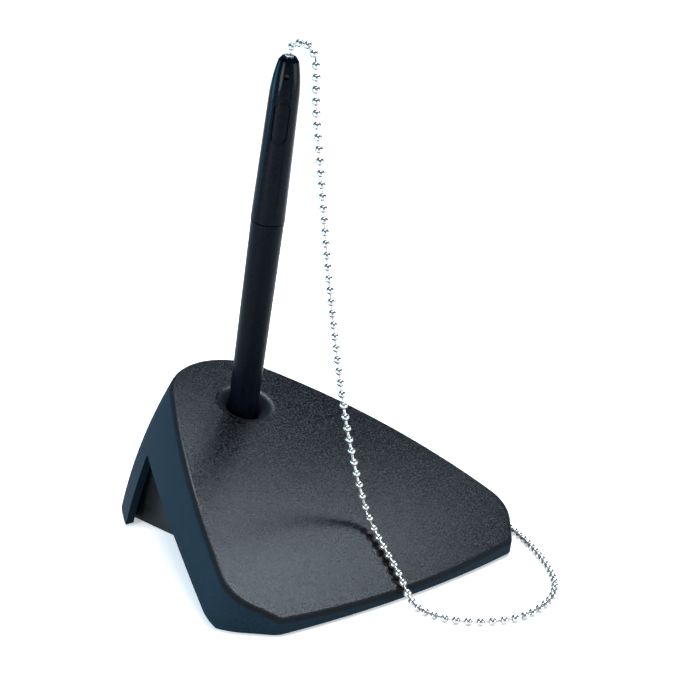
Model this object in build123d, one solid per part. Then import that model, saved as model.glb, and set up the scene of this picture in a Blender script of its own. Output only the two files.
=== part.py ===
from build123d import *
import math
import os

# A counter pen on a ball chain: a sloping weighted stand with a socket, and a two-part pen that stands in it.
# Millimetres and degrees. The stand is drawn with Y = 0 on the line through the top face's front corners,
# and every piece is then moved so that the stand's middle is over the origin. Front is -Y, up is +Z.

# Top face and skirt of the shell
FACE_SLOPE = 25.0        # of the plane that the face is drawn on, rising towards the back
FRONT_HEIGHT = 6.8       # of that plane, at the face's front corners
FACE_LENGTH = 103.2      # along the slope, front corners to back
FACE_CROWN = 540.0       # the face is slightly round along the slope
FACE_RISE = 1.1          # its middle stands over the plane
FRONT_HALF = 44.8        # half the front edge
FRONT_BULGE = 3.51       # the front edge bows forward
CORNER_HALF = 54.7       # half the widest place, behind the cut corners
CORNER_RUN = 12.7        # of the cut corner, along the slope
SIDE_RADIUS = 288.0
BACK_RADIUS = 22.0
FRONT_ROUND = 3.0        # of the front corners
SIDE_ROUND = 13.0        # of the corners behind them
SKIRT_BOW = 200.0        # radius of the skirt, which bows out as it goes down
SKIRT_WIDEST = 42.0      # how far under the plane it is widest
SKIRT_STEPS = 4          # sections below the first that the skirt is drawn through
SKIRT_OVER = 0.5         # how far it is drawn over the face, before it is cut off
SKIRT_PAST = 8.0         # and past the counter
SHELL_WALL = 2.6
EDGE_ROUND = 1.6
RIM_GAP = 0.9            # the rim's height over the counter
NOTCH_FRONT = 15.0       # where the side notch starts, from the front corners
NOTCH_BACK = 5.2         # the notch's apex, in front of the face's back
NOTCH_APEX_Z = 25.7
NOTCH_BOW = 3.3          # the notch's long edge arches up
NOTCH_LEAN = 18.4        # of the leg's front edge, from upright
NOTCH_ROUND = 1.5

# Pen hole: a round-lipped mouth in the face over a socket along the pen's axis
PEN_TILT = 12.0          # from upright, towards the front
PEN_BACK = 20.85         # where the pen's axis meets the face's plane, in front of the face's back
MOUTH_ROUND = 4.6
COLLAR_RADIUS = 11.4
COLLAR_DEPTH = 14.0
SOCKET_WALL = 1.6
SOCKET_SEAT = 4.0        # the socket's top goes this far into the collar
SOCKET_FLOOR = 5.3       # the pen's tip over the tray's floor
PEN_CLEAR = 0.4

# Weight tray under the face, with its screws and feet
TRAY_HALF = 21.9
TRAY_FRONT = 34.0
TRAY_REACH = 10.47       # the tray's back, behind the face's back
TRAY_WALL = 2.0
TRAY_FLOOR = 3.0
TRAY_LIFT = 0.4          # the floor's underside over the counter
TRAY_CLEAR = 0.4         # round the tray, inside the shell
SCREW_X = 15.5
SCREW_INSET = 7.5        # from the tray's front and back
SCREW_RADIUS = 1.5
SCREW_LENGTH = 9.0
SCREW_HEAD_RADIUS = 2.7
SCREW_HEAD_HEIGHT = 1.6
SCREW_CROSS = 3.0        # across the cross recess in the head
SCREW_CROSS_WIDTH = 0.7
SCREW_CROSS_DEPTH = 1.0
SCREW_CLEAR = 0.05
BOSS_RADIUS = 3.6
FOOT_RADIUS = 4.0
FOOT_RECESS = 0.6
FOOT_X = 14.0
FOOT_INSET = 19.0        # from the tray's front and back
WEIGHT_HEIGHT = 14.0
WEIGHT_FRONT = 57.0
WEIGHT_BOSS_GAP = 1.9    # between the weight and the back bosses
WEIGHT_CLEAR = 0.3

# Pen: stations along its axis from the writing tip, and drops from its top
PEN_LENGTH = 143.9
NOSE_START = 3.0
NOSE_END = 16.0
NOSE_TIP_RADIUS = 1.7
NOSE_RADIUS = 4.5
SEAM = 93.5
SEAM_GAP = 0.4
SEAM_RADIUS = 5.0
LIP_RADIUS = 5.15        # the upper barrel stands a little proud at the seam
SPIGOT_RADIUS = 3.7
SPIGOT_LENGTH = 8.0
SPIGOT_CLEAR = 0.05
SHOULDER_DROP = 12.4     # where the upper barrel starts to round in
SHOULDER_RADIUS = 4.45
CROWN_DROP = 1.2         # where the rounding ends
CROWN_RADIUS = 3.0
CROWN_ROUND = 0.9
REFILL_BORE = 1.75
REFILL_RADIUS = 1.55
REFILL_WALL = 0.45
REFILL_DROP = 21.3
REFILL_CLEAR = 0.1
PLUG_LENGTH = 4.0
TIP_RADIUS = 1.15
TIP_SHOULDER = 9.0
TIP_LENGTH = 11.0
BALL_RADIUS = 0.4
BADGE_DROP = 18.85
BADGE_WIDTH = 4.7
BADGE_HEIGHT = 12.8
BADGE_LINE = 0.5
BADGE_DEPTH = 0.3
BADGE_TURN = -131.3      # the side that the badge and the pin face, about the pen's axis

# Where the chain is held: a pinned bead in the pen's top, and an eyelet in the tray's side
CHAIN_RADIUS = 1.2
LINK_RADIUS = 0.4
PIN_DROP = 5.15
PIN_RADIUS = 0.75
PIN_SINK = 1.0
PIN_BACK = 2.6           # the pin's far end, past the pen's axis
END_BEAD_RADIUS = 1.3
CHAMBER_RADIUS = 1.7
CHAMBER_LENGTH = 5.4
EYELET_RADIUS = 1.1
EYELET_BORE = 0.6
EYELET_FLANGE = 1.35
EYELET_FLANGE_THICK = 0.4
FIT_CLEAR = 0.05
ANCHOR_Y = 48.8
ANCHOR_Z = 8.0
STOP_RADIUS = 1.8
STOP_LENGTH = 4.0

# The chain's route in the finished frame: down from the pen, on the face, over its edge, round on the counter
BEND_SHARE = 0.45        # of the shorter run at a point, taken up by the bend there
HANGING = [
    (0.0, -9.71, 149.85), (0.0, -10.14, 151.75), (0.1, -12.2, 153.4), (0.4, -16.4, 153.9), (0.55, -19.9, 151.9),
    (0.6, -20.9, 146.5), (0.65, -20.2, 135.4), (0.75, -22.2, 119.3), (0.95, -25.1, 87.6), (1.3, -31.05, 50.7),
    (1.6, -35.35, 34.0), (2.6, -40.3, 18.6), (0.4, -49.7, 12.3), (-0.8, -55.9, 8.8), (-2.9, -62.2, 5.3),
    (-3.3, -64.9, 2.3), (-4.7, -69.4, 1.25), (-4.95, -72.0, 1.275),
]
LYING = [
    (-4.95, -72.0, 1.275), (-5.2, -74.6, 1.3), (-4.3, -80.3, 1.25), (0.8, -88.1, 1.3), (10.2, -93.5, 1.25),
    (21.0, -93.0, 1.3), (31.6, -88.7, 1.25), (40.8, -79.6, 1.3), (50.6, -63.6, 1.25), (57.0, -50.2, 1.3),
    (60.6, -39.3, 1.25), (59.5, -28.2, 1.3), (52.2, -19.3, 1.25), (43.2, -13.6, 1.4), (35.2, -11.1, 4.6),
    (29.6, -10.45, 8.0), (23.0, -10.45, 8.0),
]

SLOPE = math.radians(FACE_SLOPE)
FACE = Plane(origin=(0, 0, FRONT_HEIGHT), x_dir=(1, 0, 0), z_dir=(0, -math.sin(SLOPE), math.cos(SLOPE)))
BIG = 4 * FACE_LENGTH
NEAR = 0.01

# Places, heights and stations that follow from the sizes above
FACE_BACK = FACE_LENGTH * math.cos(SLOPE)
SKIRT_REACH = (FRONT_HEIGHT + FACE_LENGTH * math.sin(SLOPE)) / math.cos(SLOPE) + SKIRT_PAST
CROWN_AXIS = FACE * Pos(0, FACE_LENGTH / 2, FACE_RISE - FACE_CROWN)
NOTCH_APEX_Y = FACE_BACK - NOTCH_BACK
PEN_Y = FACE_BACK - PEN_BACK
TRAY_BACK = FACE_BACK + TRAY_REACH
WEIGHT_BACK = TRAY_BACK - SCREW_INSET - BOSS_RADIUS - WEIGHT_BOSS_GAP
FLOOR_TOP = TRAY_LIFT + TRAY_FLOOR
SHOULDER = PEN_LENGTH - SHOULDER_DROP
REFILL_END = PEN_LENGTH - REFILL_DROP
BADGE_CENTRE = PEN_LENGTH - BADGE_DROP
PIN_STATION = PEN_LENGTH - PIN_DROP
FACE_AT_PEN = FRONT_HEIGHT + PEN_Y * math.tan(SLOPE)
TIP_Z = FLOOR_TOP + SOCKET_FLOOR
LEAN = math.radians(PEN_TILT)
FACE_STATION = (FACE_AT_PEN - TIP_Z) / math.cos(LEAN)
PEN = Plane(
    origin=(0, PEN_Y + FACE_STATION * math.sin(LEAN), TIP_Z),
    x_dir=(1, 0, 0),
    z_dir=(0, -math.sin(LEAN), math.cos(LEAN)),
)
ANCHOR = Plane(origin=(TRAY_HALF, ANCHOR_Y, ANCHOR_Z), x_dir=(0, 1, 0), z_dir=(1, 0, 0))
BARREL_TAPER = (SEAM_RADIUS - NOSE_RADIUS) / (SEAM - NOSE_END)
SOCKET_BORE = NOSE_RADIUS + BARREL_TAPER * (FACE_STATION - NOSE_END) + PEN_CLEAR
SOCKET_OUTER = SOCKET_BORE + SOCKET_WALL
COLLAR_END = FACE_STATION - COLLAR_DEPTH
SOCKET_TOP = COLLAR_END + SOCKET_SEAT


def rod(radius, low, high):
    """A round rod on Z between two heights."""
    return Pos(0, 0, (low + high) / 2) * Cylinder(radius, high - low)


def turned(points):
    """A turned piece on Z from its half outline of (radius, height) points."""
    outline = Polyline(*points, close=True)
    return revolve(Plane.XZ * make_face(outline), Axis.Z)


def circles_meet(first, first_radius, second, second_radius):
    """The meeting point of two circles that has the smaller X."""
    across = second - first
    gap = across.length
    along = (gap**2 + first_radius**2 - second_radius**2) / (2 * gap)
    aside = math.sqrt(first_radius**2 - along**2)
    step = across.normalized()
    side = Vector(-step.Y, step.X)
    middle = first + step * along
    return min(middle + side * aside, middle - side * aside, key=lambda point: point.X)


def face_outline(grow):
    """The top face's outline: bowed front, cut corners, long bowed sides and a round back."""
    corner = Vector(CORNER_HALF, CORNER_RUN)
    back_centre = Vector(0, FACE_LENGTH - BACK_RADIUS)
    side_centre = circles_meet(corner, SIDE_RADIUS, back_centre, SIDE_RADIUS - BACK_RADIUS)
    tangent = back_centre + (back_centre - side_centre).normalized() * BACK_RADIUS
    bow = side_centre + ((corner + tangent) / 2 - side_centre).normalized() * SIDE_RADIUS
    front = ThreePointArc((-FRONT_HALF, 0), (0, -FRONT_BULGE), (FRONT_HALF, 0))
    right = [
        Line((FRONT_HALF, 0), (corner.X, corner.Y)),
        ThreePointArc((corner.X, corner.Y), (bow.X, bow.Y), (tangent.X, tangent.Y)),
    ]
    back = ThreePointArc((tangent.X, tangent.Y), (0, FACE_LENGTH), (-tangent.X, tangent.Y))
    left = [mirror(edge, about=Plane.YZ) for edge in right]
    face = make_face(Curve() + [front, *right, back, *left])
    face = fillet([point for point in face.vertices() if abs(point.Y) < NEAR], FRONT_ROUND)
    face = fillet([point for point in face.vertices() if abs(point.Y - CORNER_RUN) < NEAR], SIDE_ROUND)
    return offset(face, grow) if grow else face


def crowned(inset):
    """Everything under the round face, drawn in by the inset."""
    return CROWN_AXIS * Rot(0, 90, 0) * Cylinder(FACE_CROWN - inset, BIG)


def skirted(inset):
    """The solid inside the face and the bowed skirt, drawn in by the inset."""
    top = inset - FACE_RISE - SKIRT_OVER
    sections = []
    for step in range(SKIRT_STEPS + 1):
        depth = top + (SKIRT_REACH - top) * step / SKIRT_STEPS
        spread = depth * (2 * SKIRT_WIDEST - depth) / (2 * SKIRT_BOW)
        sections.append(FACE.offset(-depth) * face_outline(spread - inset))
    return loft(sections) & crowned(inset)


def on_crown(edge):
    """Whether an edge lies on the round face."""
    middle = edge.center()
    reach = math.hypot(middle.Y - CROWN_AXIS.position.Y, middle.Z - CROWN_AXIS.position.Z)
    return abs(reach - FACE_CROWN) < NEAR


def at_mouth(edge):
    """Whether an edge is the pen hole's own, on the round face."""
    return on_crown(edge) and (edge.center() - Vector(0, PEN_Y, FACE_AT_PEN)).length < COLLAR_RADIUS


def above(height):
    """Everything over a height."""
    return Pos(0, 0, height + BIG / 2) * Box(2 * BIG, 2 * BIG, BIG)


def side_notch():
    """The arched opening through both sides, between the skirt and the rear leg."""
    front = Vector(NOTCH_FRONT, 0)
    apex = Vector(NOTCH_APEX_Y, NOTCH_APEX_Z)
    foot = Vector(NOTCH_APEX_Y + NOTCH_APEX_Z * math.tan(math.radians(NOTCH_LEAN)), 0)
    along = (apex - front).normalized()
    bow = (front + apex) / 2 + Vector(-along.Y, along.X) * NOTCH_BOW
    below = Vector(0, -SHELL_WALL)
    arch = ThreePointArc(front, bow, apex)
    rest = Polyline(apex, foot, foot + below, front + below, front)
    outline = make_face(Curve() + [arch, rest])
    outline = fillet(outline.vertices().sort_by(Axis.Y)[-1:], NOTCH_ROUND)
    return extrude(Plane.YZ * outline, amount=BIG, both=True)


def screw_places():
    """The four screws' places on the tray."""
    rows = (TRAY_FRONT + SCREW_INSET, TRAY_BACK - SCREW_INSET)
    return [(side * SCREW_X, row) for row in rows for side in (-1, 1)]


def foot_places():
    """The four feet's places on the tray."""
    rows = (TRAY_FRONT + FOOT_INSET, TRAY_BACK - FOOT_INSET)
    return [(side * FOOT_X, row) for row in rows for side in (-1, 1)]


def base_shell():
    """The moulded cover: crowned face, bowed skirt, rear leg, round-lipped pen hole and screw bosses."""
    body = skirted(0)
    body = fillet([edge for edge in body.edges() if on_crown(edge)], EDGE_ROUND)
    shell = body - skirted(SHELL_WALL)
    shell -= side_notch()
    for x, y in screw_places():
        shell += Pos(x, y, 0) * rod(BOSS_RADIUS, FLOOR_TOP, BIG) & body
    shell += PEN * rod(COLLAR_RADIUS, COLLAR_END, FACE_STATION + COLLAR_RADIUS) & body
    shell -= PEN * rod(SOCKET_BORE, 0, FACE_STATION + COLLAR_RADIUS)
    shell = fillet([edge for edge in shell.edges() if at_mouth(edge)], MOUTH_ROUND)
    shell -= PEN * rod(SOCKET_OUTER + FIT_CLEAR, 0, SOCKET_TOP)
    for x, y in screw_places():
        shell -= Pos(x, y, 0) * rod(SCREW_RADIUS + SCREW_CLEAR, 0, TRAY_LIFT + SCREW_HEAD_HEIGHT + SCREW_LENGTH)
    return shell & above(RIM_GAP)


def pen_socket():
    """The cup that the pen stands in, flat below where it stands on the tray."""
    cup = PEN * rod(SOCKET_OUTER, -SOCKET_OUTER, SOCKET_TOP)
    seat = PEN * turned([
        (0, -PEN_CLEAR),
        (NOSE_TIP_RADIUS + PEN_CLEAR, -PEN_CLEAR),
        (NOSE_TIP_RADIUS + PEN_CLEAR, NOSE_START),
        (SOCKET_BORE, NOSE_END + PEN_CLEAR),
        (SOCKET_BORE, SOCKET_TOP),
        (0, SOCKET_TOP),
    ])
    return (cup - seat) & above(FLOOR_TOP)


def tray_block(half, front, back, low):
    """A block over the tray's plan, from a height up past the face."""
    return Pos(0, (front + back) / 2, low + BIG / 2) * Box(2 * half, back - front, BIG)


def weight_tray():
    """The open box under the face that holds the weight; its walls follow the inside of the shell."""
    outer = tray_block(TRAY_HALF, TRAY_FRONT, TRAY_BACK, TRAY_LIFT)
    inner = tray_block(TRAY_HALF - TRAY_WALL, TRAY_FRONT + TRAY_WALL, TRAY_BACK - TRAY_WALL, FLOOR_TOP)
    tray = (outer - inner) & skirted(SHELL_WALL + TRAY_CLEAR)
    for x, y in screw_places():
        tray -= Pos(x, y, 0) * rod(SCREW_RADIUS + SCREW_CLEAR, 0, FLOOR_TOP)
        tray -= Pos(x, y, 0) * rod(SCREW_HEAD_RADIUS + SCREW_CLEAR, 0, TRAY_LIFT + SCREW_HEAD_HEIGHT)
    for x, y in foot_places():
        tray -= Pos(x, y, 0) * rod(FOOT_RADIUS + FIT_CLEAR, 0, TRAY_LIFT + FOOT_RECESS)
    return tray - ANCHOR * rod(EYELET_RADIUS + FIT_CLEAR, -2 * TRAY_WALL, 0)


def ballast_weight():
    """The iron block on the tray's floor, bored to go round the socket."""
    half = TRAY_HALF - TRAY_WALL - WEIGHT_CLEAR
    block = Pos(0, (WEIGHT_FRONT + WEIGHT_BACK) / 2, FLOOR_TOP + WEIGHT_HEIGHT / 2)
    weight = block * Box(2 * half, WEIGHT_BACK - WEIGHT_FRONT, WEIGHT_HEIGHT)
    return weight - PEN * rod(SOCKET_OUTER + WEIGHT_CLEAR, -SOCKET_OUTER, SOCKET_TOP)


def tray_screws():
    """Four cross-head screws, up through the tray into the shell's bosses."""
    head_top = TRAY_LIFT + SCREW_HEAD_HEIGHT
    screw = rod(SCREW_HEAD_RADIUS, TRAY_LIFT, head_top)
    screw += rod(SCREW_RADIUS, head_top, head_top + SCREW_LENGTH)
    slot = Pos(0, 0, TRAY_LIFT) * Box(SCREW_CROSS, SCREW_CROSS_WIDTH, 2 * SCREW_CROSS_DEPTH)
    screw -= slot
    screw -= Rot(0, 0, 90) * slot
    return [Pos(x, y, 0) * screw for x, y in screw_places()]


def rubber_feet():
    """Four discs in the tray's recesses; the stand rests on them."""
    foot = rod(FOOT_RADIUS, 0, TRAY_LIFT + FOOT_RECESS)
    return [Pos(x, y, 0) * foot for x, y in foot_places()]


def eyelet(length):
    """A flanged eyelet on Z, with its flange over Z = 0."""
    ring = rod(EYELET_FLANGE, 0, EYELET_FLANGE_THICK) + rod(EYELET_RADIUS, -length, 0)
    return ring - rod(EYELET_BORE, -length, EYELET_FLANGE_THICK)


def anchor_eyelet():
    """The eyelet in the tray's side that the chain comes out of."""
    return ANCHOR * eyelet(TRAY_WALL)


def anchor_stop():
    """The crimped sleeve and its wire that hold the chain's end inside the tray."""
    sleeve = rod(STOP_RADIUS, -TRAY_WALL - STOP_LENGTH, -TRAY_WALL)
    return ANCHOR * (sleeve + rod(LINK_RADIUS, -TRAY_WALL, EYELET_FLANGE_THICK))


def lower_barrel():
    """The writing end: cone nose, slightly tapered barrel and a spigot for the upper barrel."""
    shoulder = SEAM - SEAM_GAP / 2
    radius = NOSE_RADIUS + BARREL_TAPER * (shoulder - NOSE_END)
    spigot_end = SEAM + SPIGOT_LENGTH
    body = turned([
        (0, NOSE_START),
        (NOSE_TIP_RADIUS, NOSE_START),
        (NOSE_RADIUS, NOSE_END),
        (radius, shoulder),
        (SPIGOT_RADIUS, shoulder),
        (SPIGOT_RADIUS, spigot_end),
        (0, spigot_end),
    ])
    body -= rod(REFILL_BORE, TIP_SHOULDER, spigot_end)
    return PEN * (body - rod(TIP_RADIUS + REFILL_CLEAR, NOSE_START, TIP_SHOULDER))


def upper_outline(sink):
    """The upper barrel's turned outside, sunk by an even depth."""
    low = SEAM + SEAM_GAP / 2
    crown = PEN_LENGTH - CROWN_DROP
    edge = Line((LIP_RADIUS - sink, low), (SHOULDER_RADIUS - sink, SHOULDER))
    bullet = TangentArc((SHOULDER_RADIUS - sink, SHOULDER), (CROWN_RADIUS - sink, crown), tangent=edge % 1)
    rest = Polyline(
        (CROWN_RADIUS - sink, crown),
        (CROWN_RADIUS - CROWN_ROUND, PEN_LENGTH - sink),
        (0, PEN_LENGTH - sink),
        (0, low),
        (LIP_RADIUS - sink, low),
    )
    return revolve(Plane.XZ * make_face(Curve() + [edge, bullet, rest]), Axis.Z)


def badge_groove():
    """A fine line round the bare long badge on the barrel."""
    across = Vector(math.cos(math.radians(BADGE_TURN)), math.sin(math.radians(BADGE_TURN)), 0)
    facing = Plane(origin=(0, 0, BADGE_CENTRE), x_dir=(-across.Y, across.X, 0), z_dir=across)
    ring = SlotOverall(BADGE_HEIGHT, BADGE_WIDTH, rotation=90)
    ring -= SlotOverall(BADGE_HEIGHT - 2 * BADGE_LINE, BADGE_WIDTH - 2 * BADGE_LINE, rotation=90)
    return extrude(facing * ring, amount=2 * LIP_RADIUS) - upper_outline(BADGE_DEPTH)


def pin_line():
    """The retaining pin's own plane: Z runs out through the barrel on the badge's side."""
    across = Vector(math.cos(math.radians(BADGE_TURN)), math.sin(math.radians(BADGE_TURN)), 0)
    return Plane(origin=(0, 0, PIN_STATION), x_dir=(0, 0, 1), z_dir=across)


def upper_barrel():
    """The bullet-topped end, bored for the spigot, the refill and the chain's end."""
    low = SEAM + SEAM_GAP / 2
    body = upper_outline(0) - badge_groove()
    body -= rod(SPIGOT_RADIUS + SPIGOT_CLEAR, low, SEAM + SPIGOT_LENGTH)
    body -= rod(REFILL_BORE, low, REFILL_END + REFILL_CLEAR)
    body -= rod(CHAMBER_RADIUS, PIN_STATION - CHAMBER_LENGTH / 2, PIN_STATION + CHAMBER_LENGTH / 2)
    body -= rod(EYELET_RADIUS + FIT_CLEAR, PIN_STATION, PEN_LENGTH)
    return PEN * (body - pin_line() * rod(PIN_RADIUS + FIT_CLEAR, -PIN_BACK, 2 * LIP_RADIUS))


def retaining_pin():
    """The cross pin that holds the chain's last bead, sunk in its hole."""
    crown = PEN_LENGTH - CROWN_DROP
    narrowing = (SHOULDER_RADIUS - CROWN_RADIUS) / (crown - SHOULDER)
    surface = SHOULDER_RADIUS - narrowing * (PIN_STATION - SHOULDER)
    return PEN * pin_line() * rod(PIN_RADIUS, -PIN_BACK, surface - PIN_SINK)


def chain_end():
    """The last bead of the chain, drilled for the pin, with its wire up through the ferrule."""
    bead = Pos(0, 0, PIN_STATION) * Sphere(END_BEAD_RADIUS)
    bead += rod(LINK_RADIUS, PIN_STATION, PEN_LENGTH + EYELET_FLANGE_THICK)
    return PEN * (bead - pin_line() * rod(PIN_RADIUS + FIT_CLEAR, -PIN_BACK, PIN_BACK))


def top_ferrule():
    """The bright eyelet in the pen's top."""
    length = PEN_LENGTH - PIN_STATION - CHAMBER_LENGTH / 2
    return PEN * Pos(0, 0, PEN_LENGTH) * eyelet(length)


def refill_tube():
    """The ink tube, open at both ends."""
    return PEN * (
        rod(REFILL_RADIUS, TIP_LENGTH, REFILL_END) - rod(REFILL_RADIUS - REFILL_WALL, TIP_LENGTH, REFILL_END)
    )


def refill_plug():
    """The plug in the ink tube's upper end."""
    return PEN * rod(REFILL_RADIUS - REFILL_WALL, REFILL_END - PLUG_LENGTH, REFILL_END)


def refill_tip():
    """The writing tip, with a shoulder that sits in the nose, and a hollow for the ball."""
    tip = turned([
        (0, BALL_RADIUS),
        (BALL_RADIUS, BALL_RADIUS),
        (TIP_RADIUS, NOSE_START),
        (TIP_RADIUS, TIP_SHOULDER),
        (REFILL_RADIUS, TIP_SHOULDER),
        (REFILL_RADIUS, TIP_LENGTH),
        (0, TIP_LENGTH),
    ])
    return PEN * (tip - Pos(0, 0, BALL_RADIUS) * Sphere(BALL_RADIUS))


def writing_ball():
    """The ball at the very tip."""
    return PEN * Pos(0, 0, BALL_RADIUS) * Sphere(BALL_RADIUS)


def chain_stretch(name, points):
    """A tube for one stretch of the chain: straight runs and the largest arcs that they allow."""
    route = [Vector(*point) for point in points]
    radii = []
    for before, here, after in zip(route, route[1:], route[2:]):
        shorter = min((here - before).length, (after - here).length)
        turn = math.radians((here - before).get_angle(after - here))
        radii.append(BEND_SHARE * shorter / math.tan(turn / 2))
    path = FilletPolyline(*points, radius=radii)
    start = Plane(origin=path @ 0, z_dir=path % 0)
    tube = sweep(start * Circle(CHAIN_RADIUS), path=path)
    section = math.pi * CHAIN_RADIUS**2
    print(name, "radii", [round(radius, 1) for radius in radii])
    print(name, "length", round(path.length, 1), "volume ratio", round(tube.volume / (section * path.length), 4))
    return tube


def main():
    shell = base_shell()
    middle = Pos(0, -shell.bounding_box().center().Y, 0)
    print("moved by", middle.position.Y)
    pieces = {
        "base_shell": shell,
        "pen_socket": pen_socket(),
        "weight_tray": weight_tray(),
        "ballast_weight": ballast_weight(),
        "tray_screws": Compound(tray_screws()),
        "rubber_feet": Compound(rubber_feet()),
        "anchor_eyelet": anchor_eyelet(),
        "anchor_stop": anchor_stop(),
        "pen_lower_barrel": lower_barrel(),
        "pen_upper_barrel": upper_barrel(),
        "refill_tube": refill_tube(),
        "refill_plug": refill_plug(),
        "refill_tip": refill_tip(),
        "writing_ball": writing_ball(),
        "retaining_pin": retaining_pin(),
        "chain_end": chain_end(),
        "top_ferrule": top_ferrule(),
    }
    placed = {name: middle * piece for name, piece in pieces.items()}
    placed["chain_hanging"] = chain_stretch("chain_hanging", HANGING)
    placed["chain_lying"] = chain_stretch("chain_lying", LYING)
    os.makedirs("parts", exist_ok=True)
    for name, piece in placed.items():
        export_step(piece, f"parts/{name}.step")


main()
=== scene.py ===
import math

import bpy
import numpy as np
from mathutils import Matrix, Vector


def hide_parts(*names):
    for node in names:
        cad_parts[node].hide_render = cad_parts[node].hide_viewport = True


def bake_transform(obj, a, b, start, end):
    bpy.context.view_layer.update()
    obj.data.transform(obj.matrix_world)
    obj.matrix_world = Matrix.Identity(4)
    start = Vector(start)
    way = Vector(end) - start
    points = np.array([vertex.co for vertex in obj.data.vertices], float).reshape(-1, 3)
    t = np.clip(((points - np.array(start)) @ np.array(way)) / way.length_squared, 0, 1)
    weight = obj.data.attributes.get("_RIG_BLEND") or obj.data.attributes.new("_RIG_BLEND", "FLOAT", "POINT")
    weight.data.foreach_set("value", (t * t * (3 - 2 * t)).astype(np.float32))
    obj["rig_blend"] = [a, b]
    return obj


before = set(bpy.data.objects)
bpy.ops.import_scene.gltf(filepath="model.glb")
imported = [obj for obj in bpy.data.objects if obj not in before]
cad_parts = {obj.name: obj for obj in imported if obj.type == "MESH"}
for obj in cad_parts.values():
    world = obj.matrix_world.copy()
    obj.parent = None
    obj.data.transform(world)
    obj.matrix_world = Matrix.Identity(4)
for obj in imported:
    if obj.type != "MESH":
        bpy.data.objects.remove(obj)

# The counter pen on its stand. Metres; front is -Y and up is +Z, as in the frame.

# Camera, fitted to the photograph
IMAGE_PIXELS = 680
FOCAL_PIXELS = 2000
SENSOR_MM = 36
EYE = (-0.36352, -0.44550, 0.22934)
LOOK_AZIMUTH = -41.28
LOOK_DOWN = 16.09

# Bead chain
BEAD_RADIUS = 0.0012
BEAD_PITCH = 0.0034
BEAD_HOLE = 0.00042
BEAD_SIDES = 20
BEAD_RINGS = 11
LIP_DEPTH = 0.00021          # of the lip turned in at each hole
LIP_STEP = 0.00005           # the lip's inner edge, inside the hole's radius
SEAM_DEPTH = 0.02            # of the bead's radius, along the seam where it was rolled up
SEAM_TURN = 2.4              # from one bead's seam to the next, in radians
LINK_RADIUS = 0.0004
LINK_SIDES = 10
LINK_REACH = 0.0009          # a link's end, from the middle of its bead
FIRST_BEAD = 0.0027          # from the ferrule
LAST_BEAD = 0.0016           # before the eyelet
ROUTE_STEPS = 24             # of the smooth route, between two of its points
CHAIN_ROUTE = [
    (0.0, -0.00971, 0.14985), (0.0, -0.01014, 0.15175), (0.0001, -0.0122, 0.1534),
    (0.0004, -0.0164, 0.1539), (0.00055, -0.0199, 0.1519), (0.0006, -0.0209, 0.1465),
    (0.00065, -0.0202, 0.1354), (0.00075, -0.0222, 0.1193), (0.00095, -0.0251, 0.0876),
    (0.0013, -0.03105, 0.0507), (0.0016, -0.03535, 0.0340), (0.0026, -0.0403, 0.0186),
    (0.0004, -0.0497, 0.0123), (-0.0008, -0.0559, 0.0088), (-0.0029, -0.0622, 0.0053),
    (-0.0033, -0.0649, 0.0023), (-0.0047, -0.0694, 0.00125), (-0.0052, -0.0746, 0.0013),
    (-0.0043, -0.0803, 0.00125), (0.0008, -0.0881, 0.0013), (0.0102, -0.0935, 0.00125),
    (0.0210, -0.0930, 0.0013), (0.0316, -0.0887, 0.00125), (0.0408, -0.0796, 0.0013),
    (0.0506, -0.0636, 0.00125), (0.0570, -0.0502, 0.0013), (0.0606, -0.0393, 0.00125),
    (0.0595, -0.0282, 0.0013), (0.0522, -0.0193, 0.00125), (0.0432, -0.0136, 0.0014),
    (0.0352, -0.0111, 0.0046), (0.0296, -0.01045, 0.0080), (0.0230, -0.01045, 0.0080),
]

# The chain stays with the stand below the first place, and goes all the way with the pen above the second
CHAIN_FOLLOWS_FROM = (0, 0, 0.018)
CHAIN_FOLLOWS_TO = (0, 0, 0.140)

# Floor and surroundings
FLOOR_SIZE = 80.0
FLOOR_COLOUR = (0.97, 0.97, 0.97, 1)
FLOOR_ROUGHNESS = 0.9
FLOOR_GLOW = 0.40            # what the eye sees on top of the lamps' light
GLOW_COLOUR = (1, 1, 1, 1)
SURROUND_COLOUR = (0.30, 0.72, 1.0, 1)
SURROUND_LEVEL = 0.2

# Lamps
SUN_COLOUR = (1.0, 0.91, 0.85)
SUN_LEVEL = 0.62             # of a white floor's brightness
SUN_FROM = Vector((-0.12, -0.18, 1.0))
SUN_SPREAD = math.radians(28)
COOL = (0.77, 0.89, 1.0)
BLUE = (0.10, 0.60, 1.0)
PALE = (0.9, 0.96, 1.0)
SOFTBOXES = {                # place, (width, height), power, colour
    "strip": ((0.238, 0.052, 0.568), (0.44, 0.10), 4.8, COOL),
    "back": ((0.232, 0.196, 0.552), (0.16, 0.07), 1.0, COOL),
    "left": ((-0.58, 0.68, 0.14), (0.50, 0.25), 6.0, BLUE),
    "side": ((-0.43, -0.06, 0.13), (0.14, 0.16), 1.8, PALE),
    "front": ((0.26, -0.42, 0.10), (0.40, 0.16), 1.8, PALE),
}
AIM = Vector((0, -0.015, 0.025))
SIDEWAYS = Vector((math.cos(math.radians(LOOK_AZIMUTH)), math.sin(math.radians(LOOK_AZIMUTH)), 0))

# The noise values between which a material's shades and its roughness change
SHADE_SPAN = (0.35, 0.65)
ROUGH_SPAN = (0.3, 0.7)

# The Mix node's sockets for colours, by number because those for other values have the same names
MIX_FIRST = 6
MIX_SECOND = 7
MIX_RESULT = 2

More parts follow.
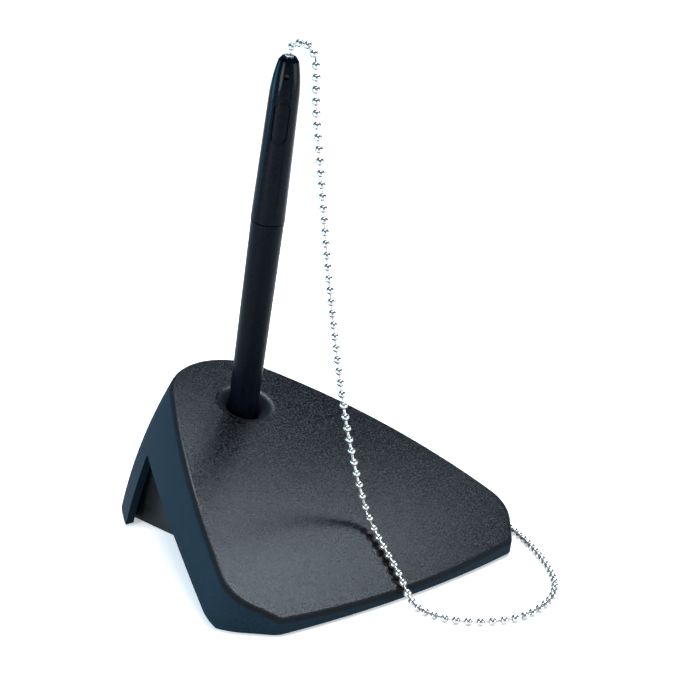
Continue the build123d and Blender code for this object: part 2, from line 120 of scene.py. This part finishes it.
# The shell's finish: a zone passes into the next by the cosine of its turn from the top face; the top face
# keeps its grained charcoal, the band round it and the pen hole's lip are darkened as painted shade, and the
# sides are tinted blue as painted blue light
FACE_SLOPE = math.radians(25)
FACE_NORMAL = (0, -math.sin(FACE_SLOPE), math.cos(FACE_SLOPE))
SKIRT_TO_EDGE = (0.20, 0.50)
EDGE_TO_FACE = (0.90, 0.99)
# painted blue light: the sides are tinted blue-black, which the black plastic is not
SIDES_PAINTED_BLUE_LIGHT = ((0.0022, 0.0065, 0.011), (0.0052, 0.017, 0.027))
# painted shade: the rounded band round the top face and the pen hole's lip are made blacker
RIM_PAINTED_SHADE = ((0.002, 0.003, 0.004), (0.006, 0.009, 0.012))
FACE_SHADES = ((0.0003, 0.0004, 0.0006), (0.022, 0.024, 0.028))
FACE_SPAN = (0.46, 0.62)
SKIRT_ROUGH = (0.78, 0.92)
FACE_ROUGH = (0.12, 0.26)
SHELL_SPECKS = 0.00055
SHELL_GRAIN = 0.0005
SHELL_DEPTH = 0.00009
SHELL_STRENGTH = 0.8
SHELL_GLOSS = 0.08

# The other finishes: two shades, size of the specks, least and most roughness, size and depth of the grain
FINISHES = {
    "black_plastic": dict(
        dark=(0.003, 0.004, 0.005), light=(0.007, 0.008, 0.010), specks=0.0012, rough=(0.45, 0.6),
        grain=0.0008, depth=0.00004, Specular_IOR_Level=0.15),
    "barrel_plastic": dict(
        dark=(0.0005, 0.0010, 0.0022), light=(0.0014, 0.0030, 0.0064), specks=0.0008, rough=(0.28, 0.38),
        grain=0.0005, depth=0.00001, Specular_IOR_Level=0.04),
    "cap_plastic": dict(
        dark=(0.0005, 0.0010, 0.0022), light=(0.0014, 0.0030, 0.0064), specks=0.0011, rough=(0.14, 0.20),
        grain=0.0011, depth=0.000008, Specular_IOR_Level=0.045),
    "pin_steel": dict(
        dark=(0.02, 0.02, 0.02), light=(0.05, 0.05, 0.05), specks=0.0004, rough=(0.4, 0.6),
        grain=0.0003, depth=0.00001, Metallic=1.0),
    "refill_plastic": dict(
        dark=(0.04, 0.04, 0.055), light=(0.07, 0.07, 0.09), specks=0.002, rough=(0.2, 0.3),
        grain=0.001, depth=0.00001),
    "cast_iron": dict(
        dark=(0.05, 0.048, 0.046), light=(0.13, 0.125, 0.12), specks=0.0016, rough=(0.5, 0.75),
        grain=0.001, depth=0.0002, Metallic=0.8),
    "screw_steel": dict(
        dark=(0.30, 0.30, 0.29), light=(0.48, 0.48, 0.46), specks=0.0009, rough=(0.28, 0.45),
        grain=0.0004, depth=0.00002, Metallic=1.0),
    "carbide": dict(
        dark=(0.28, 0.28, 0.29), light=(0.40, 0.40, 0.42), specks=0.0003, rough=(0.15, 0.25),
        grain=0.0002, depth=0.000003, Metallic=1.0),
    "nickel": dict(
        dark=(0.34, 0.335, 0.325), light=(0.46, 0.455, 0.445), specks=0.0009, rough=(0.16, 0.26),
        grain=0.0005, depth=0.000006, Metallic=0.85),
    "brass": dict(
        dark=(0.50, 0.35, 0.12), light=(0.66, 0.48, 0.20), specks=0.0008, rough=(0.2, 0.32),
        grain=0.0004, depth=0.00001, Metallic=1.0),
    "foot_rubber": dict(
        dark=(0.016, 0.016, 0.017), light=(0.034, 0.034, 0.036), specks=0.0007, rough=(0.7, 0.9),
        grain=0.0004, depth=0.00006),
}
PIECES = {
    "grained_black_plastic": ["base_shell"],
    "black_plastic": ["pen_socket", "weight_tray"],
    "cast_iron": ["ballast_weight"],
    "screw_steel": ["tray_screws"],
    "pin_steel": ["retaining_pin"],
    "foot_rubber": ["rubber_feet"],
    "nickel": ["anchor_eyelet", "anchor_stop", "chain_end", "top_ferrule"],
    "barrel_plastic": ["pen_lower_barrel"],
    "cap_plastic": ["pen_upper_barrel"],
    "refill_plastic": ["refill_tube", "refill_plug"],
    "brass": ["refill_tip"],
    "carbide": ["writing_ball"],
}


def add_node(tree, kind, **values):
    """A shader node with its settings and unlinked inputs."""
    node = tree.nodes.new("ShaderNode" + kind)
    for name, value in values.items():
        if name in node.inputs:
            node.inputs[name].default_value = value
        else:
            setattr(node, name, value)
    return node


def new_material(name, **values):
    """A material whose shader has these inputs."""
    material = bpy.data.materials.new(name)
    material.use_nodes = True
    tree = material.node_tree
    shader = tree.nodes["Principled BSDF"]
    for socket, value in values.items():
        shader.inputs[socket.replace("_", " ")].default_value = value
    return material, tree, shader


def noise(tree, size, detail=3.0, roughness=0.6):
    """Fine noise over the object; size is that of its grains."""
    place = add_node(tree, "TexCoord")
    texture = add_node(tree, "TexNoise", Scale=1 / size, Detail=detail, Roughness=roughness)
    tree.links.new(place.outputs["Object"], texture.inputs["Vector"])
    return texture.outputs["Fac"]


def shade(tree, factor, dark, light, span=SHADE_SPAN):
    """A colour between two, as a factor goes along a span."""
    ramp = add_node(tree, "ValToRGB")
    for element, position, colour in zip(ramp.color_ramp.elements, span, (dark, light)):
        element.position = position
        element.color = (*colour, 1)
    tree.links.new(factor, ramp.inputs["Fac"])
    return ramp.outputs["Color"]


def rescale(tree, value, span, low=0.0, high=1.0):
    """A number from low to high, as a value goes along a span."""
    scaler = add_node(tree, "MapRange")
    for name, number in (("From Min", span[0]), ("From Max", span[1]), ("To Min", low), ("To Max", high)):
        scaler.inputs[name].default_value = number
    tree.links.new(value, scaler.inputs["Value"])
    return scaler.outputs["Result"]


def mix_colours(tree, factor, first, second):
    """A mix of two colours along a factor."""
    mix = add_node(tree, "Mix", data_type="RGBA")
    tree.links.new(factor, mix.inputs["Factor"])
    for socket, colour in ((MIX_FIRST, first), (MIX_SECOND, second)):
        tree.links.new(colour, mix.inputs[socket])
    return mix.outputs[MIX_RESULT]


def raise_grain(tree, shader, height, depth, strength=1.0):
    """Bumps on the surface, of a depth in metres."""
    bump = add_node(tree, "Bump", Strength=strength, Distance=depth)
    tree.links.new(height, bump.inputs["Height"])
    tree.links.new(bump.outputs["Normal"], shader.inputs["Normal"])


def mottled(name, dark, light, specks, rough, grain, depth, **values):
    """A material with speckled colour, uneven gloss and a fine grain."""
    material, tree, shader = new_material(name, **values)
    mottle = noise(tree, specks)
    tree.links.new(shade(tree, mottle, dark, light), shader.inputs["Base Color"])
    tree.links.new(rescale(tree, mottle, ROUGH_SPAN, *rough), shader.inputs["Roughness"])
    raise_grain(tree, shader, noise(tree, grain), depth)
    return material


def grained_black_plastic():
    """The shell: a glossier grained charcoal top face; the band round it and the pen hole's lip blacker as
    painted shade; the sides blue-black as painted blue light.
    """
    material, tree, shader = new_material("grained_black_plastic", Specular_IOR_Level=SHELL_GLOSS)
    surface = add_node(tree, "NewGeometry")
    facing = add_node(tree, "VectorMath", operation="DOT_PRODUCT")
    tree.links.new(surface.outputs["Normal"], facing.inputs[0])
    facing.inputs[1].default_value = FACE_NORMAL
    off_skirt = rescale(tree, facing.outputs["Value"], SKIRT_TO_EDGE)
    on_face = rescale(tree, facing.outputs["Value"], EDGE_TO_FACE)
    mottle = noise(tree, SHELL_SPECKS, detail=4, roughness=0.8)
    # painted blue light on the sides
    sides_painted_blue_light = shade(tree, mottle, *SIDES_PAINTED_BLUE_LIGHT)
    # painted shade on the band round the top face and on the pen hole's lip
    rim_painted_shade = shade(tree, mottle, *RIM_PAINTED_SHADE)
    face = shade(tree, mottle, *FACE_SHADES, FACE_SPAN)
    colour = mix_colours(tree, on_face, mix_colours(tree, off_skirt, sides_painted_blue_light, rim_painted_shade), face)
    tree.links.new(colour, shader.inputs["Base Color"])
    gloss = add_node(tree, "Mix")
    tree.links.new(on_face, gloss.inputs["Factor"])
    for socket, rough in (("A", SKIRT_ROUGH), ("B", FACE_ROUGH)):
        tree.links.new(rescale(tree, mottle, ROUGH_SPAN, *rough), gloss.inputs[socket])
    tree.links.new(gloss.outputs["Result"], shader.inputs["Roughness"])
    raise_grain(tree, shader, noise(tree, SHELL_GRAIN, detail=2), SHELL_DEPTH, SHELL_STRENGTH)
    return material


def dress(piece, material):
    """Gives a piece one material."""
    piece.data.materials.clear()
    piece.data.materials.append(material)


def route_line():
    """Points along the chain's smooth route, read from its spline."""
    curve = bpy.data.curves.new("chain_route", "CURVE")
    curve.dimensions = "3D"
    spline = curve.splines.new("NURBS")
    spline.points.add(len(CHAIN_ROUTE) - 1)
    for point, place in zip(spline.points, CHAIN_ROUTE):
        point.co = (*place, 1)
    spline.order_u = 3
    spline.use_endpoint_u = True
    spline.resolution_u = ROUTE_STEPS
    holder = bpy.data.objects.new("chain_route", curve)
    mesh = bpy.data.meshes.new_from_object(holder)
    line = np.array([vertex.co for vertex in mesh.vertices])
    bpy.data.objects.remove(holder)
    bpy.data.meshes.remove(mesh)
    bpy.data.curves.remove(curve)
    return line


def bead_places(line):
    """The beads' middles along the route, and the route's length."""
    steps = np.linalg.norm(np.diff(line, axis=0), axis=1)
    along = np.concatenate([[0], np.cumsum(steps)])
    length = along[-1]
    count = round((length - FIRST_BEAD - LAST_BEAD) / BEAD_PITCH) + 1
    stations = np.linspace(FIRST_BEAD, length - LAST_BEAD, count)
    places = np.stack([np.interp(stations, along, line[:, axis]) for axis in range(3)], axis=1)
    return places, length


def bead_outline():
    """A bead's half outline, (place along the chain, radius): a ball with a lip turned in at each hole."""
    opening = math.asin(BEAD_HOLE / BEAD_RADIUS)
    turns = np.linspace(math.pi - opening, opening, BEAD_RINGS)
    ball = [(BEAD_RADIUS * math.cos(turn), BEAD_RADIUS * math.sin(turn)) for turn in turns]
    end, hole = ball[-1]
    lip = (end - LIP_DEPTH, hole - LIP_STEP)
    return [(-lip[0], lip[1]), *ball, lip]


def across(axis, turn):
    """Two directions square to an axis and to each other, turned about it."""
    first = axis.orthogonal().normalized()
    second = axis.cross(first)
    return (
        first * math.cos(turn) + second * math.sin(turn),
        second * math.cos(turn) - first * math.sin(turn),
    )


def circle(middle, axis, radius, sides, turn=0.0, seam=0.0):
    """A ring of points round an axis; its first point is drawn in where the seam runs."""
    one, two = across(axis, turn)
    ring = []
    for side in range(sides):
        angle = math.tau * side / sides
        reach = radius - (seam if side == 0 else 0)
        ring.append(middle + (one * math.cos(angle) + two * math.sin(angle)) * reach)
    return ring


def add_tube(points, faces, rings):
    """Joins rings of points into a tube at the end of a mesh's lists."""
    sides = len(rings[0])
    start = len(points)
    for ring in rings:
        points.extend(ring)
    for row in range(len(rings) - 1):
        for side in range(sides):
            here = start + row * sides + side
            beside = start + row * sides + (side + 1) % sides
            faces.append((here, beside, beside + sides, here + sides))


def chain_mesh(stops):
    """The beads' and the links' points and faces, and the stop that each point goes with."""
    last = len(stops) - 1
    points, faces, owners = [], [], []
    for index in range(1, last):
        axis = (stops[index + 1] - stops[index - 1]).normalized()
        turn = SEAM_TURN * index
        rings = [
            circle(stops[index] + axis * place, axis, radius, BEAD_SIDES, turn, SEAM_DEPTH * radius)
            for place, radius in bead_outline()
        ]
        add_tube(points, faces, rings)
        owners += [index] * (len(points) - len(owners))
    for index in range(last):
        here, there = stops[index], stops[index + 1]
        axis = (there - here).normalized()
        start = here + axis * (LINK_REACH if index else 0)
        end = there - axis * (LINK_REACH if index + 1 < last else 0)
        add_tube(points, faces, [circle(place, axis, LINK_RADIUS, LINK_SIDES) for place in (start, end)])
        owners += [index] * LINK_SIDES + [index + 1] * LINK_SIDES
    return points, faces, np.array(owners)


def keep_beads_round(mesh, owners):
    """Lets each bead follow the pen as a whole, so that only the links lengthen."""
    weights = np.zeros(len(owners), np.float32)
    stored = mesh.attributes["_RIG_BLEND"].data
    stored.foreach_get("value", weights)
    means = np.bincount(owners, weights) / np.bincount(owners)
    stored.foreach_set("value", means[owners].astype(np.float32))


def ball_chain():
    """The bead chain: hollow beads on short links, from the pen's ferrule to the eyelet under the stand."""
    line = route_line()
    places, length = bead_places(line)
    stops = [Vector(place) for place in (line[0], *places, line[-1])]
    points, faces, owners = chain_mesh(stops)
    mesh = bpy.data.meshes.new("ball_chain")
    mesh.from_pydata(points, [], faces)
    mesh.polygons.foreach_set("use_smooth", [True] * len(faces))
    chain = bpy.data.objects.new("ball_chain", mesh)
    bpy.context.scene.collection.objects.link(chain)
    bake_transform(chain, "base", "pen", start=CHAIN_FOLLOWS_FROM, end=CHAIN_FOLLOWS_TO)
    keep_beads_round(mesh, owners)
    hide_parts("chain_hanging", "chain_lying")
    return chain


def add_camera():
    """The photograph's camera."""
    data = bpy.data.cameras.new("camera")
    data.sensor_width = SENSOR_MM
    data.lens = SENSOR_MM * FOCAL_PIXELS / IMAGE_PIXELS
    camera = bpy.data.objects.new("camera", data)
    camera.location = EYE
    camera.rotation_euler = (math.radians(90 - LOOK_DOWN), 0, math.radians(LOOK_AZIMUTH))
    bpy.context.scene.collection.objects.link(camera)
    bpy.context.scene.camera = camera


def add_light(name, kind, place, aim, **values):
    """A light at a place that looks at a point, its width lying sideways in the picture."""
    data = bpy.data.lights.new(name, kind)
    for setting, value in values.items():
        setattr(data, setting, value)
    light = bpy.data.objects.new(name, data)
    back = (Vector(place) - aim).normalized()
    width = (SIDEWAYS - back * SIDEWAYS.dot(back)).normalized()
    turn = Matrix((width, back.cross(width), back)).transposed()
    light.matrix_world = Matrix.Translation(place) @ turn.to_4x4()
    bpy.context.scene.collection.objects.link(light)


def add_lamps():
    """A wide soft sun from above, and soft rectangular lamps that look at the stand."""
    add_light(
        "sun", "SUN", SUN_FROM, Vector(), energy=math.pi * SUN_LEVEL, angle=SUN_SPREAD, color=SUN_COLOUR)
    for name, (place, (width, height), power, colour) in SOFTBOXES.items():
        add_light(
            name, "AREA", place, AIM, shape="RECTANGLE", size=width, size_y=height, energy=power,
            color=colour)


def add_world():
    """A dim blue studio all round."""
    world = bpy.data.worlds.new("studio")
    world.use_nodes = True
    background = world.node_tree.nodes["Background"]
    background.inputs["Color"].default_value = SURROUND_COLOUR
    background.inputs["Strength"].default_value = SURROUND_LEVEL
    bpy.context.scene.world = world


def floor_white():
    """The floor's white, which the camera and reflections see brighter than the lamps make it."""
    material, tree, shader = new_material(
        "floor", Base_Color=FLOOR_COLOUR, Roughness=FLOOR_ROUGHNESS, Specular_IOR_Level=0.0,
        Emission_Color=GLOW_COLOUR)
    rays = add_node(tree, "LightPath")
    seen = rays.outputs["Is Camera Ray"]
    for kind in ("Is Glossy Ray", "Is Transmission Ray"):
        either = add_node(tree, "Math", operation="MAXIMUM")
        tree.links.new(seen, either.inputs[0])
        tree.links.new(rays.outputs[kind], either.inputs[1])
        seen = either.outputs["Value"]
    glow = add_node(tree, "Math", operation="MULTIPLY")
    glow.inputs[1].default_value = FLOOR_GLOW
    tree.links.new(seen, glow.inputs[0])
    tree.links.new(glow.outputs["Value"], shader.inputs["Emission Strength"])
    return material


def add_floor():
    """The counter that the stand is on."""
    half = FLOOR_SIZE / 2
    corners = [(-half, -half, 0), (half, -half, 0), (half, half, 0), (-half, half, 0)]
    mesh = bpy.data.meshes.new("floor")
    mesh.from_pydata(corners, [], [(0, 1, 2, 3)])
    floor = bpy.data.objects.new("floor", mesh)
    bpy.context.scene.collection.objects.link(floor)
    dress(floor, floor_white())


def dress_pieces():
    """Gives every solid its finish, and puts the bead chain in place of the plain one."""
    materials = {name: mottled(name, **settings) for name, settings in FINISHES.items()}
    materials["grained_black_plastic"] = grained_black_plastic()
    for finish, nodes in PIECES.items():
        for node in nodes:
            dress(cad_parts[node], materials[finish])
    dress(ball_chain(), materials["nickel"])


def main():
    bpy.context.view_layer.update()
    bpy.context.scene.view_settings.view_transform = "Standard"
    add_camera()
    add_world()
    add_floor()
    add_lamps()
    dress_pieces()


main()
